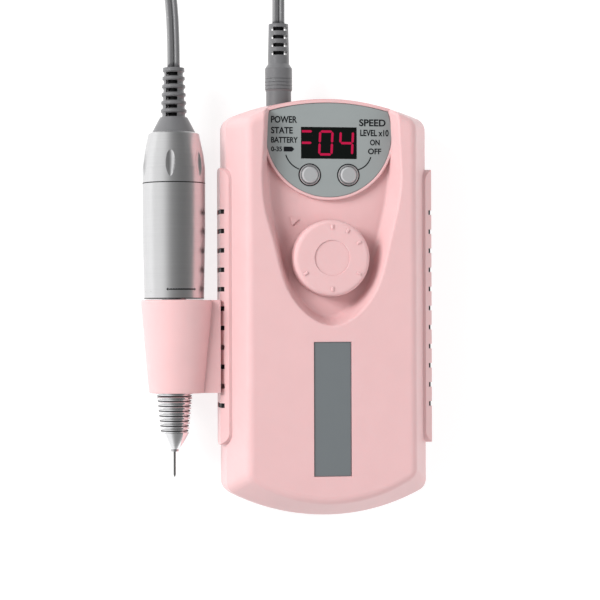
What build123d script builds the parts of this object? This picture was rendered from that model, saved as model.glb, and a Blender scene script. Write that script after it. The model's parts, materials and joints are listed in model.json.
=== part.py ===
from build123d import *
from math import pi, radians, tan
import os

# Portable electric nail drill, in millimetres.
# The control box lies on its back: +Z is the front face's normal, +Y runs towards the cord end and +X to
# the right of someone who reads the display. The origin is the centre of the box's flat back.

# ---- Control box -----------------------------------------------------------------------------------
case_half_width = 40.5
case_shoulder_y = 74.0
case_top_apex_y = 82.8
case_low_corner_y = -72.2
case_low_apex_y = -82.8
case_corner_r = 5.0
wall = 2.0
split_z = 13.0
side_z = 19.0
front_z = 33.0
side_draft = 0.5
flank_inset = 7.5
top_inset = 1.5
low_inset = 6.5
hollow_taper = 1.2
front_edge_r = 3.5
back_edge_r = 3.5
seam_chamfer = 0.25

# ---- Scoop in the front, panel and knob -------------------------------------------------------------
scoop_floor_z = 24.0
scoop_wall_run = 3.3
scoop_side = [(25.6, 90.0), (27.5, 52.0), (22.9, 25.0), (18.2, 8.0), (8.6, -4.2)]
scoop_tip_y = -7.5
scoop_edge_r = 1.0
scoop_reach = 30.0
scoop_floor_r = 1.5
panel_y = 68.2
panel_r = 25.1
panel_edge_inset = 2.6
panel_z = 25.9
panel_thickness = 1.0
panel_rim = 1.2
rim_top_z = 26.3
rim_edge_r = 0.35
panel_edge_r = 0.2
window_width = 22.3
window_height = 12.5
window_y = 64.4
window_thickness = 0.8
window_gap = 0.2
panel_gap = 0.1
pocket_height = 2.4
module_width = 20.6
module_height = 10.8
module_gap = 0.1
label_width = 14.6
label_length = 52.2
label_y = -39.9
label_depth = 0.9
label_thickness = 0.5
label_gap = 0.3
label_corner_r = 0.4
label_edge_r = 0.15
pointer_x = -14.0
pointer_y = 33.9
pointer_size = 3.5
pointer_turn = 46.0
pointer_height = 0.7
button_x = 7.7
button_y = 51.8
button_r = 3.3
button_hole_r = 4.3
button_clearance = 0.08
button_top_z = 27.0
button_edge_r = 0.9
bezel_width = 0.75
stem_r = 2.0
stem_low_z = 22.2
flange_r = 4.1
flange_gap = 0.2
flange_thickness = 0.6
flange_seat_z = 23.4
flange_lift = 0.8
plunger_r = 1.75
plunger_low_z = 19.2
switch_width = 6.0
switch_height = 3.5
switch_edge_r = 0.4
switch_cavity_z = 18.5
knob_y = 19.0
knob_r = 15.0
knob_top_z = 33.0
knob_base_z = scoop_floor_z + 0.6
knob_wall = 1.6
knob_shoulder_r = 1.8
knob_hub_r = 5.2
dish_r = 6.9
dish_depth = 0.45
dish_edge_r = 0.2
dial_angles = (0, 30, 60, 120, 180, 240)
dial_mark_r = 12.1
dial_mark_width = 1.0
dial_mark_length = 1.7
dial_mark_height = 0.5
dial_mark_edge_r = 0.3
shaft_r = 3.0
shaft_low_z = 17.8
shaft_top_z = 30.6
pot_neck_r = 3.9
pot_neck_gap = 0.2
running_gap = 0.05

# ---- Electronics ------------------------------------------------------------------------------------
board_z = 15.4
board_thickness = 1.6
board_top_z = board_z + board_thickness
board_half_width = 24.0
board_low_y = 8.0
board_high_y = 64.0
board_tongue_y = 74.0
board_screw_points = [(20.0, 60.0), (-20.0, 60.0), (17.0, 28.0), (-17.0, 28.0)]
board_tongue_half = 11.4
board_boss_r = 2.4
board_pilot_r = 0.9
board_head_r = 1.9
board_head_height = 1.2
board_screw_length = 5.2
board_screw_grip = 4.0
chip_x = 13.0
chip_y = 44.0
chip_width = 9.0
chip_height = 1.6
coil_part_r = 5.0
coil_part_height = 5.5
connector_y = 14.0
connector_width = 7.5
connector_depth = 5.0
connector_height = 4.5
pot_r = 8.0
pot_height = 4.2
cell_r = 9.2
cell_length = 65.0
cell_x = 9.6
cell_z = 11.8
cell_low_y = -68.0
cell_edge = 0.5
cradle_height = 5.0
cradle_margin = 1.2
link_thickness = 0.3
link_gap = 1.0
link_length = 26.0
link_height = 6.0
link_lift = 1.6
socket_y = 76.4
socket_length = 12.4
socket_half = 5.2
socket_corner_r = 0.8
socket_depth = 10.0
socket_post_y = 70.5
socket_post_width = 8.0
socket_post_depth = 8.0
socket_post_top = 11.3
socket_bore_r = 3.0
socket_pin_r = 1.0
plug_x = -18.6
plug_z = 16.5
charge_x = 18.4
charge_bore_r = 2.85
charge_pin_r = 0.65
charge_hole_r = 3.3
end_hole_start_y = socket_y - 1.0
end_hole_length = 10.0

# ---- Rails, holder and fasteners --------------------------------------------------------------------
rail_x = 42.5
rail_centre_y = 0.3
rail_half_length = 54.5
rail_low_z = 8.0
rail_high_z = 22.6
rail_face_z = 19.5
rail_root_x = 36.0
rail_top_x = 39.4
rail_chamfer = 1.5
rail_end_r = 5.0
slot_pitch = 7.62
slot_count = 11
slot_height = 1.84
slot_low_z = 10.0
slot_high_z = 21.0
slot_centre_y = -0.6
slot_depth = 6.0
slot_axis_x = rail_x - 2.0
case_screw_points = [(32.0, 62.0), (-32.0, 62.0), (32.0, -60.0), (-32.0, -60.0)]
boss_r = 4.0
pilot_r = 1.25
screw_head_r = 2.7
screw_seat_z = 9.5
screw_head_height = 2.2
head_gap = 0.3
case_screw_length = 14.0
case_screw_grip = 11.0
cross_length = 3.2
cross_width = 0.8
cross_depth = 1.0
rating_y = 36.0
rating_width = 46.0
rating_length = 50.0
rating_corner_r = 3.0
rating_depth = 0.3

# ---- Handpiece: radii about its own axis, stations along Y ------------------------------------------
tool_x = -60.3
tool_z = 16.5
boot_top_y = 94.0
boot_cone_y = 74.9
cap_top_y = 68.6
cap_seam_y = 48.6
tube_low_y = 3.5
grip_top_y = 3.0
holder_top_y = 2.8
holder_low_y = -33.6
nose_y = -49.4
nose_tip_y = -55.6
collet_tip_y = -56.6
bit_tip_y = -66.5
body_r = 12.3
body_wall = 1.3
grip_top_r = 11.6
grip_holder_r = 7.4
grip_front_r = 5.8
housing_r = 4.9
housing_wall = 0.9
spindle_r = 2.6
shank_r = 1.175
needle_r = 0.45
needle_point_r = 0.27
needle_point = 1.0
bit_neck = 1.0
motor_r = 10.4
holder_x = -59.1
holder_top_r = 14.35
holder_low_r = 11.2
holder_gap = 0.4
holder_edge_r = 0.5
web_low_z = 11.0
web_height = 11.0
web_gap = 0.1
tongue_length = 3.2
tongue_height = 6.0
tongue_gap = 0.14
tongue_slots = (1, 3)
tongue_root = 1.0
boot_foot_r = 8.5
boot_low_r = 5.2
boot_top_r = 4.2
spigot_r = 6.0
spigot_depth = 2.0
boot_slots = 6
boot_slot_pitch = 3.2
boot_slot_height = 1.5
boot_waist_depth = 0.7
boot_window_width = 4.6
boot_core_r = 2.0
boot_turn = -19.0
boot_taper = (boot_low_r - boot_top_r) / (boot_top_y - boot_cone_y)
boot_first_slot_y = boot_cone_y + 0.6
cap_edge = 0.6
cap_shoulder_r = 9.95
cap_mid_r = 11.65
cap_mid_y = 59.9
cap_body_y = 54.7
dimple_axis_r = 13.25
dimple_y = 57.3
dimple_half_length = 8.4
dimple_half_width = 2.3
dimple_count = 6
dimple_turn = 78.5
tube_mid_y = 30.0
tube_low_r = 11.75
tube_lip = 1.5
tube_lip_gap = 0.1
motor_low_y = 12.0
motor_high_y = 45.0
motor_boss = 2.5
motor_boss_r = 4.5
motor_shaft_r = 1.15
bell_height = 3.0
terminal_x = 5.0
terminal_width = 1.6
housing_low_y = -48.6
front_bearing_y = -48.1
rear_bearing_y = -8.0
bearing_width = 3.5
coupling_low_y = -1.0
coupling_length = 8.0
coupling_mid_y = coupling_low_y + coupling_length / 2
spindle_low_y = -48.6
spindle_floor_y = -14.0
collet_r = 1.95
collet_tip_r = 1.6
collet_neck_r = 1.65
collet_cone = 1.5
collet_gap = 0.03
collet_top_y = -26.0
shank_top_y = -30.0
rib_count = 8
rib_pitch = 1.95
rib_groove_r = 0.8
rib_lift = 0.25
rib_taper = 0.1
nose_bore_r = 1.75
nose_lip = 0.35
nose_clearance = 0.2
nose_mid_r = 4.2

# ---- Plug: radii about its own axis, stations along Y -------------------------------------------------
plug_end_y = 78.2
plug_hole_r = 5.2
plug_sleeve_r = 5.0
plug_groove_y = 85.3
plug_body_y = 90.8
plug_flare_y = 94.4
plug_collar_y = 96.2
plug_boot_y = 99.0
plug_top_y = 112.0
plug_body_r = 5.4
plug_boot_top_r = 3.9
plug_grooves = 4
plug_groove_pitch = 1.37
plug_groove_width = 0.35
plug_groove_depth = 0.3
plug_slots = 4
plug_window_width = 6.2
plug_first_slot_y = plug_boot_y + 1.3
barrel_r = 2.75
barrel_bore_r = 1.3
barrel_tip_y = 69.0

# ---- Cord: twin lead, drawn as a round tube of the same section --------------------------------------
cord_r = 1.8
coil_x = -40.0
coil_y = 176.0
coil_inner_r = 19.4
coil_outer_r = 34.6
coil_height = 5.2
coil_edge_r = 1.2
arc_share = 0.45
tool_cord_points = [
    (-60.3, 94.0, 16.5),
    (-60.3, 111.4, 16.5),
    (-61.9, 130.0, 12.8),
    (-65.4, 146.0, 5.4),
    (-69.5, 160.0, 2.0),
]
plug_cord_points = [
    (-18.6, 112.0, 16.5),
    (-18.6, 125.2, 16.5),
    (-17.5, 139.0, 12.2),
    (-15.0, 151.0, 5.4),
    (-11.4, 162.0, 2.0),
]

eps = 0.01
through = 1.0
tool_plane = Plane(origin=(tool_x, 0, tool_z), x_dir=(1, 0, 0), z_dir=(0, 0, 1))
tool_axis = Axis((tool_x, 0, tool_z), (0, 1, 0))
plug_plane = Plane(origin=(plug_x, 0, plug_z), x_dir=(1, 0, 0), z_dir=(0, 0, 1))
plug_axis = Axis((plug_x, 0, plug_z), (0, 1, 0))
tongue_x = -rail_x - web_gap + tongue_length / 2 - tongue_root
slot_ys = [slot_centre_y + slot_pitch * (i - slot_count // 2) for i in range(slot_count)]


def draw_case(side, top, low, corner=case_corner_r):
    """Outline of the box, moved in by the given amounts at its sides, cord end and low end."""
    half = case_half_width - side
    high_y = case_shoulder_y - top
    low_y = case_low_corner_y + low
    with BuildLine() as outline:
        Line((-half, low_y), (-half, high_y))
        ThreePointArc((-half, high_y), (0, case_top_apex_y - top), (half, high_y))
        Line((half, high_y), (half, low_y))
        ThreePointArc((half, low_y), (0, case_low_apex_y + low), (-half, low_y))
    make_face(outline.edges())
    fillet(vertices(), corner)


def draw_scoop(outset):
    """U-shaped outline of the scoop, moved outwards by outset. Its cord end runs past the box."""
    corners = scoop_side + [(0.0, scoop_tip_y)]
    pushed = []
    for i in range(len(corners) - 1):
        before = Vector(*corners[max(i - 1, 0)])
        after = Vector(*corners[i + 1])
        along = (after - before).normalized()
        pushed.append((corners[i][0] - along.Y * outset, corners[i][1] + along.X * outset))
    tip = (0.0, scoop_tip_y - outset)
    right = pushed[1:]
    left = [(-x, y) for x, y in reversed(right)]
    with BuildLine() as outline:
        Line(pushed[0], pushed[1])
        Spline(*right, tip, *left, tangents=[(0, -1), (0, 1)])
        Line(left[-1], (-pushed[0][0], pushed[0][1]))
        Line((-pushed[0][0], pushed[0][1]), pushed[0])
    make_face(outline.edges())


def draw_panel(radius, edge_inset):
    """Round panel outline, cut at the cord end parallel to the end of the box."""
    draw_case(edge_inset, edge_inset, edge_inset)
    with Locations((0, panel_y)):
        Circle(radius, mode=Mode.INTERSECT)


def draw_half_section(*corners):
    """Half section of a turned piece: corners of (radius, station)."""
    with BuildLine() as outline:
        Polyline(*corners, close=True)
    make_face(outline.edges())


def finish(part, name):
    """Label a finished piece and write it to its own file."""
    part.label = name
    export_step(part, f"parts/{name}.step")


os.makedirs("parts", exist_ok=True)
scoop_slope = scoop_wall_run / (front_z - scoop_floor_z)

# ==== Helper solids: not pieces, only used to shape the covers and rails ===============================
with BuildPart() as front_envelope:
    with BuildSketch(Plane.XY.offset(split_z)):
        draw_case(0, 0, 0)
    with BuildSketch(Plane.XY.offset(side_z)):
        draw_case(side_draft, side_draft, side_draft)
    with BuildSketch(Plane.XY.offset(front_z)):
        draw_case(flank_inset, top_inset, low_inset)
    loft(ruled=True)
    fillet(front_envelope.faces().sort_by(Axis.Z)[-1].edges(), front_edge_r)

with BuildPart() as rear_envelope:
    with BuildSketch():
        draw_case(0, 0, 0)
    extrude(amount=split_z)
    fillet(rear_envelope.faces().sort_by(Axis.Z)[0].edges(), back_edge_r)
    chamfer(rear_envelope.faces().sort_by(Axis.Z)[-1].edges(), seam_chamfer)

with BuildPart() as front_hollow:
    with BuildSketch(Plane.XY.offset(split_z)):
        draw_case(wall, wall, wall)
    with BuildSketch(Plane.XY.offset(side_z)):
        draw_case(wall + side_draft, wall + side_draft, wall + side_draft)
    with BuildSketch(Plane.XY.offset(front_z - wall)):
        draw_case(flank_inset + hollow_taper, top_inset + wall, low_inset + hollow_taper)
    loft(ruled=True)
    with BuildSketch(Plane.XY.offset(scoop_floor_z - wall)):
        draw_scoop(wall - scoop_wall_run - wall * scoop_slope)
    with BuildSketch(Plane.XY.offset(front_z)):
        draw_scoop(wall)
    loft(ruled=True, mode=Mode.SUBTRACT)

with BuildPart() as vent_slots:
    for side in (-1, 1):
        with Locations([(side * slot_axis_x, y, (slot_low_z + slot_high_z) / 2) for y in slot_ys]):
            Box(slot_depth, slot_height, slot_high_z - slot_low_z)

# ==== Covers ==========================================================================================
with BuildPart() as end_holes:
    with BuildSketch(Plane(origin=(plug_x, end_hole_start_y, plug_z), x_dir=(1, 0, 0), z_dir=(0, 1, 0))):
        Circle(plug_hole_r)
    extrude(amount=end_hole_length)
    with BuildSketch(Plane(origin=(charge_x, end_hole_start_y, plug_z), x_dir=(1, 0, 0), z_dir=(0, 1, 0))):
        Circle(charge_hole_r)
    extrude(amount=end_hole_length)

with BuildPart() as cover_bosses:
    with Locations([(x, y, (split_z + front_z) / 2) for x, y in case_screw_points]):
        Cylinder(boss_r, front_z - split_z)
    add(front_envelope.part, mode=Mode.INTERSECT)

with BuildPart() as front_cover:
    add(front_envelope.part)
    add(front_hollow.part, mode=Mode.SUBTRACT)
    add(cover_bosses.part)
    with BuildSketch(Plane.XY.offset(scoop_floor_z)):
        draw_scoop(-scoop_wall_run)
    with BuildSketch(Plane.XY.offset(front_z + through)):
        draw_scoop(scoop_slope * through)
    loft(ruled=True, mode=Mode.SUBTRACT)
    for rim_z, rim_r in ((front_z, scoop_edge_r), (scoop_floor_z, scoop_floor_r)):
        rim = front_cover.edges().filter_by_position(Axis.Z, rim_z - eps, rim_z + eps)
        rim = rim.filter_by_position(Axis.X, -scoop_reach, scoop_reach)
        rim = rim.filter_by_position(Axis.Y, scoop_tip_y - eps, panel_y)
        fillet([edge for edge in rim if edge.length > scoop_reach / 2], rim_r)
    with BuildSketch(Plane.XY.offset(scoop_floor_z - wall)):
        draw_panel(panel_r + panel_rim, panel_edge_inset - panel_rim)
    extrude(amount=rim_top_z - scoop_floor_z + wall)
    with BuildSketch(Plane.XY.offset(panel_z - panel_thickness)):
        draw_panel(panel_r + panel_gap, panel_edge_inset - panel_gap)
    extrude(amount=pocket_height, mode=Mode.SUBTRACT)
    rim = front_cover.edges().filter_by_position(Axis.Z, rim_top_z - eps, rim_top_z + eps)
    fillet([edge for edge in rim if edge.length > 2 * panel_r], rim_edge_r)
    with BuildSketch(Plane.XY.offset(board_top_z)):
        with Locations(board_screw_points):
            Circle(board_boss_r)
    extrude(amount=scoop_floor_z - wall / 2 - board_top_z)
    with BuildSketch(Plane.XY.offset(board_top_z)):
        with Locations(board_screw_points):
            Circle(board_pilot_r)
    extrude(amount=board_screw_grip, mode=Mode.SUBTRACT)
    with BuildSketch(Plane.XY.offset(split_z)):
        with Locations(case_screw_points):
            Circle(pilot_r)
    extrude(amount=case_screw_grip, mode=Mode.SUBTRACT)
    with BuildSketch(Plane.XY.offset(board_top_z)):
        with Locations((0, window_y)):
            Rectangle(module_width + 2 * module_gap, module_height + 2 * module_gap)
        with Locations([(-button_x, button_y), (button_x, button_y)]):
            Circle(stem_r + button_clearance)
        with Locations((0, knob_y)):
            Circle(pot_neck_r + pot_neck_gap)
    extrude(amount=panel_z - board_top_z, mode=Mode.SUBTRACT)
    with BuildSketch(Plane.XY.offset(flange_seat_z)):
        with Locations([(-button_x, button_y), (button_x, button_y)]):
            Circle(flange_r + flange_gap)
    extrude(amount=panel_z - flange_seat_z, mode=Mode.SUBTRACT)
    with BuildSketch(Plane.XY.offset(front_z - label_depth)):
        with Locations((0, label_y)):
            Rectangle(label_width + label_gap, label_length + label_gap)
    extrude(amount=label_depth + through, mode=Mode.SUBTRACT)
    with BuildSketch(Plane.XY.offset(scoop_floor_z)):
        with Locations((pointer_x, pointer_y)):
            Triangle(a=pointer_size, b=pointer_size, c=pointer_size, rotation=pointer_turn)
    extrude(amount=pointer_height)
    add(vent_slots.part, mode=Mode.SUBTRACT)
    add(end_holes.part, mode=Mode.SUBTRACT)
finish(front_cover.part, "front_cover")

with BuildPart() as rear_cover:
    add(rear_envelope.part)
    with BuildSketch(Plane.XY.offset(wall)):
        draw_case(wall, wall, wall)
    extrude(amount=split_z, mode=Mode.SUBTRACT)
    with BuildSketch(Plane.XY.offset(wall / 2)):
        with Locations(case_screw_points):
            Circle(boss_r)
        with Locations([(plug_x, socket_post_y), (charge_x, socket_post_y)]):
            Rectangle(socket_post_width, socket_post_depth)
    extrude(amount=socket_post_top - wall / 2)
    with BuildSketch(Plane.XY.offset(socket_post_top)):
        with Locations(case_screw_points):
            Circle(boss_r)
    extrude(amount=split_z - socket_post_top)
    with BuildSketch():
        with Locations(case_screw_points):
            Circle(screw_head_r + head_gap)
    extrude(amount=screw_seat_z, mode=Mode.SUBTRACT)
    with BuildSketch():
        with Locations(case_screw_points):
            Circle(pilot_r + head_gap)
    extrude(amount=split_z, mode=Mode.SUBTRACT)
    with BuildSketch():
        with Locations((0, rating_y)):
            Rectangle(rating_width, rating_length)
        fillet(vertices(), rating_corner_r)
    extrude(amount=rating_depth, mode=Mode.SUBTRACT)
    add(vent_slots.part, mode=Mode.SUBTRACT)
    add(end_holes.part, mode=Mode.SUBTRACT)
finish(rear_cover.part, "rear_cover")

with BuildPart() as case_screws:
    with Locations([(x, y, screw_seat_z) for x, y in case_screw_points]):
        Cylinder(screw_head_r, screw_head_height, align=(Align.CENTER, Align.CENTER, Align.MAX))
        Cylinder(pilot_r, case_screw_length, align=(Align.CENTER, Align.CENTER, Align.MIN))
    with Locations([(x, y, screw_seat_z - screw_head_height) for x, y in case_screw_points]):
        Box(cross_length, cross_width, 2 * cross_depth, mode=Mode.SUBTRACT)
        Box(cross_width, cross_length, 2 * cross_depth, mode=Mode.SUBTRACT)
finish(case_screws.part, "case_screws")

for name, side in (("side_rail_left", -1), ("side_rail_right", 1)):
    with BuildPart() as side_rail:
        with BuildSketch(Plane.XZ.offset(-rail_half_length - rail_centre_y)):
            with BuildLine():
                Polyline(
                    (side * rail_root_x, rail_low_z),
                    (side * (rail_x - rail_chamfer), rail_low_z),
                    (side * rail_x, rail_low_z + rail_chamfer),
                    (side * rail_x, rail_face_z),
                    (side * rail_top_x, rail_high_z),
                    (side * rail_root_x, rail_high_z),
                    close=True,
                )
            make_face()
        extrude(amount=2 * rail_half_length)
        with BuildSketch(Plane.YZ.offset(-rail_x - through)):
            with Locations((rail_centre_y, (rail_low_z + rail_high_z) / 2)):
                RectangleRounded(2 * rail_half_length, rail_high_z - rail_low_z, rail_end_r)
        extrude(amount=2 * (rail_x + through), mode=Mode.INTERSECT)
        add(front_envelope.part, mode=Mode.SUBTRACT)
        add(rear_envelope.part, mode=Mode.SUBTRACT)
        add(vent_slots.part, mode=Mode.SUBTRACT)
    finish(side_rail.part, name)

# ==== Panel, display, buttons and knob ================================================================
with BuildPart() as faceplate:
    with BuildSketch(Plane.XY.offset(panel_z - panel_thickness)):
        draw_panel(panel_r, panel_edge_inset)
        with Locations((0, window_y)):
            Rectangle(window_width, window_height, mode=Mode.SUBTRACT)
        with Locations([(-button_x, button_y), (button_x, button_y)]):
            Circle(button_hole_r - bezel_width, mode=Mode.SUBTRACT)
    extrude(amount=panel_thickness)
    rims = faceplate.faces().sort_by(Axis.Z)[-1].inner_wires().edges().filter_by(GeomType.CIRCLE)
    chamfer(rims, bezel_width)
    outer = faceplate.faces().sort_by(Axis.Z)[-1].outer_wire().edges()
    fillet(outer, panel_edge_r)
finish(faceplate.part, "faceplate")

with BuildPart() as display_window:
    with BuildSketch(Plane.XY.offset(panel_z - panel_thickness)):
        with Locations((0, window_y)):
            Rectangle(window_width - window_gap, window_height - window_gap)
    extrude(amount=window_thickness)
finish(display_window.part, "display_window")

with BuildPart() as display_module:
    with BuildSketch(Plane.XY.offset(board_top_z)):
        with Locations((0, window_y)):
            Rectangle(module_width, module_height)
    extrude(amount=panel_z - panel_thickness - module_gap - board_top_z)
    fillet(display_module.edges().filter_by(Axis.Z), window_gap)
finish(display_module.part, "display_module")

with BuildPart() as label_plate:
    with BuildSketch(Plane.XY.offset(front_z - label_depth)):
        with Locations((0, label_y)):
            RectangleRounded(label_width, label_length, label_corner_r)
    extrude(amount=label_thickness)
    fillet(label_plate.faces().sort_by(Axis.Z)[-1].edges(), label_edge_r)
finish(label_plate.part, "label_plate")

for name, side in (("left", -1), ("right", 1)):
    centre = (side * button_x, button_y)
    with BuildPart() as button:
        with BuildSketch(Plane.XY.offset(stem_low_z)):
            with Locations(centre):
                Circle(stem_r)
        extrude(amount=button_top_z - stem_low_z)
        with BuildSketch(Plane.XY.offset(flange_seat_z + flange_lift)):
            with Locations(centre):
                Circle(flange_r)
        extrude(amount=flange_thickness)
        with BuildSketch(Plane.XY.offset(flange_seat_z + flange_lift)):
            with Locations(centre):
                Circle(button_r)
        extrude(amount=button_top_z - flange_seat_z - flange_lift)
        fillet(button.edges().sort_by(Axis.Z)[-1], button_edge_r)
    finish(button.part, f"button_{name}")
    with BuildPart() as plunger:
        with BuildSketch(Plane.XY.offset(plunger_low_z)):
            with Locations(centre):
                Circle(plunger_r)
        extrude(amount=stem_low_z - plunger_low_z)
    finish(plunger.part, f"switch_plunger_{name}")

with BuildPart() as tact_switches:
    with Locations([(-button_x, button_y, board_top_z), (button_x, button_y, board_top_z)]):
        Box(switch_width, switch_width, switch_height, align=(Align.CENTER, Align.CENTER, Align.MIN))
    fillet(tact_switches.edges().filter_by(Axis.Z), switch_edge_r)
    with BuildSketch(Plane.XY.offset(switch_cavity_z)):
        with Locations([(-button_x, button_y), (button_x, button_y)]):
            Circle(plunger_r + button_clearance)
    extrude(amount=switch_height, mode=Mode.SUBTRACT)
finish(tact_switches.part, "tact_switches")

with BuildPart() as speed_knob:
    with BuildSketch(Plane.XY.offset(knob_base_z)):
        with Locations((0, knob_y)):
            Circle(knob_r)
    extrude(amount=knob_top_z - knob_base_z)
    fillet(speed_knob.edges().sort_by(Axis.Z)[-1], knob_shoulder_r)
    with BuildSketch(Plane.XY.offset(knob_base_z)):
        with Locations((0, knob_y)):
            Circle(knob_r - knob_wall)
            Circle(knob_hub_r, mode=Mode.SUBTRACT)
    extrude(amount=knob_top_z - knob_base_z - knob_shoulder_r, mode=Mode.SUBTRACT)
    with BuildSketch(Plane.XY.offset(knob_base_z)):
        with Locations((0, knob_y)):
            Circle(shaft_r)
    extrude(amount=shaft_top_z - knob_base_z, mode=Mode.SUBTRACT)
    with BuildSketch(Plane.XY.offset(knob_top_z - dish_depth)):
        with Locations((0, knob_y)):
            Circle(dish_r)
    extrude(amount=dish_depth, mode=Mode.SUBTRACT)
    fillet(speed_knob.faces().sort_by(Axis.Z)[-1].inner_wires().edges(), dish_edge_r)
    for angle in dial_angles:
        with Locations(Plane(origin=(0, knob_y, knob_top_z), z_dir=(0, 0, 1)).rotated((0, 0, -angle))):
            with Locations((0, dial_mark_r, 0)):
                Box(dial_mark_width, dial_mark_length, 2 * dial_mark_height)
    fillet(speed_knob.faces().group_by(Axis.Z)[-1].edges(), dial_mark_edge_r)
finish(speed_knob.part, "speed_knob")

with BuildPart() as pot_shaft:
    with BuildSketch(Plane.XY.offset(shaft_low_z)):
        with Locations((0, knob_y)):
            Circle(shaft_r)
    extrude(amount=shaft_top_z - shaft_low_z)
finish(pot_shaft.part, "pot_shaft")

with BuildPart() as speed_potentiometer:
    with BuildSketch(Plane.XY.offset(board_top_z)):
        with Locations((0, knob_y)):
            Circle(pot_r)
    extrude(amount=pot_height)
    with BuildSketch(Plane.XY.offset(board_top_z)):
        with Locations((0, knob_y)):
            Circle(pot_neck_r)
    extrude(amount=scoop_floor_z - board_top_z)
    with BuildSketch(Plane.XY.offset(shaft_low_z - running_gap)):
        with Locations((0, knob_y)):
            Circle(shaft_r + running_gap)
    extrude(amount=front_z - shaft_low_z, mode=Mode.SUBTRACT)
finish(speed_potentiometer.part, "speed_potentiometer")

# ==== Board, battery and sockets ======================================================================
with BuildPart() as main_board:
    with BuildSketch(Plane.XY.offset(board_z)):
        with BuildLine():
            Polyline(
                (-board_half_width, board_low_y),
                (board_half_width, board_low_y),
                (board_half_width, board_high_y),
                (board_tongue_half, board_high_y),
                (board_tongue_half, board_tongue_y),
                (-board_tongue_half, board_tongue_y),
                (-board_tongue_half, board_high_y),
                (-board_half_width, board_high_y),
                close=True,
            )
        make_face()
        with Locations(board_screw_points):
            Circle(board_pilot_r + running_gap, mode=Mode.SUBTRACT)
    extrude(amount=board_thickness)
finish(main_board.part, "main_board")

with BuildPart() as board_screws:
    with Locations([(x, y, board_z) for x, y in board_screw_points]):
        Cylinder(board_head_r, board_head_height, align=(Align.CENTER, Align.CENTER, Align.MAX))
        Cylinder(board_pilot_r, board_screw_length, align=(Align.CENTER, Align.CENTER, Align.MIN))
finish(board_screws.part, "board_screws")

with BuildPart() as board_components:
    with Locations((chip_x, chip_y, board_z)):
        Box(chip_width, chip_width, chip_height, align=(Align.CENTER, Align.CENTER, Align.MAX))
    with Locations((-chip_x, chip_y, board_z)):
        Cylinder(coil_part_r, coil_part_height, align=(Align.CENTER, Align.CENTER, Align.MAX))
    with Locations([(x, connector_y, board_z) for x in (-chip_x, 0, chip_x)]):
        Box(connector_width, connector_depth, connector_height, align=(Align.CENTER, Align.CENTER, Align.MAX))
finish(board_components.part, "board_components")

with BuildPart() as cell_cradle:
    with BuildSketch(Plane.XY.offset(wall)):
        with Locations((0, cell_low_y + cell_length / 2)):
            Rectangle(2 * (cell_x + cell_r) + cradle_margin, cell_length + 2 * cradle_margin)
    extrude(amount=cradle_height)
    with Locations([(x, cell_low_y + cell_length / 2, cell_z) for x in (-cell_x, cell_x)]):
        Cylinder(cell_r + running_gap, cell_length + link_gap, rotation=(90, 0, 0), mode=Mode.SUBTRACT)
finish(cell_cradle.part, "cell_cradle")

for name, side in (("left", -1), ("right", 1)):
    with BuildPart() as battery_cell:
        with Locations((side * cell_x, cell_low_y + cell_length / 2, cell_z)):
            Cylinder(cell_r, cell_length, rotation=(90, 0, 0))
        chamfer(battery_cell.edges().filter_by(GeomType.CIRCLE), cell_edge)
    finish(battery_cell.part, f"battery_cell_{name}")

with BuildPart() as cell_links:
    for end_y in (cell_low_y - link_thickness / 2, cell_low_y + cell_length + link_thickness / 2):
        with Locations((0, end_y, cell_z + link_lift)):
            Box(link_length, link_thickness, link_height)
finish(cell_links.part, "cell_links")

for name, socket_x, bore_r, pin_r in (
    ("output_socket", plug_x, socket_bore_r, socket_pin_r),
    ("charge_socket", charge_x, charge_bore_r, charge_pin_r),
):
    socket_plane = Plane(origin=(socket_x, socket_y, plug_z), x_dir=(1, 0, 0), z_dir=(0, -1, 0))
    with BuildPart() as socket:
        with BuildSketch(socket_plane):
            RectangleRounded(2 * socket_half, 2 * socket_half, socket_corner_r)
        extrude(amount=socket_length)
        with BuildSketch(socket_plane):
            Circle(bore_r)
            Circle(pin_r, mode=Mode.SUBTRACT)
        extrude(amount=socket_depth, mode=Mode.SUBTRACT)
    finish(socket.part, name)

# ==== Handpiece holder ================================================================================
with BuildPart() as handpiece_holder:
    with BuildSketch(Plane(origin=(holder_x, 0, tool_z), x_dir=(1, 0, 0), z_dir=(0, 0, 1))):
        draw_half_section(
            (0, holder_low_y), (holder_low_r, holder_low_y), (holder_top_r, holder_top_y), (0, holder_top_y)
        )
    revolve(axis=Axis((holder_x, 0, tool_z), (0, 1, 0)))
    with BuildSketch(Plane.XY.offset(web_low_z)):
        with BuildLine():
            Polyline(
                (holder_x, holder_low_y),
                (-rail_x - web_gap, holder_low_y),
                (-rail_x - web_gap, holder_top_y),
                (holder_x, holder_top_y),
                close=True,
            )
        make_face()
    extrude(amount=web_height)
    with BuildSketch(Plane.XY.offset(web_low_z)):
        with Locations([(tongue_x, slot_ys[i]) for i in tongue_slots]):
            Rectangle(tongue_length + 2 * tongue_root, slot_height - tongue_gap)
    extrude(amount=tongue_height)
    with BuildSketch(tool_plane):
        draw_half_section(
            (0, holder_low_y - through),
            (grip_holder_r + holder_gap, holder_low_y - through),
            (grip_top_r + holder_gap, holder_top_y + through),
            (0, holder_top_y + through),
        )
    revolve(axis=tool_axis, mode=Mode.SUBTRACT)
    for end_y in (holder_low_y, holder_top_y):
        ends = handpiece_holder.edges().filter_by_position(Axis.Y, end_y - eps, end_y + eps)
        fillet([edge for edge in ends if edge.geom_type == GeomType.CIRCLE], holder_edge_r)
finish(handpiece_holder.part, "handpiece_holder")

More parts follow.
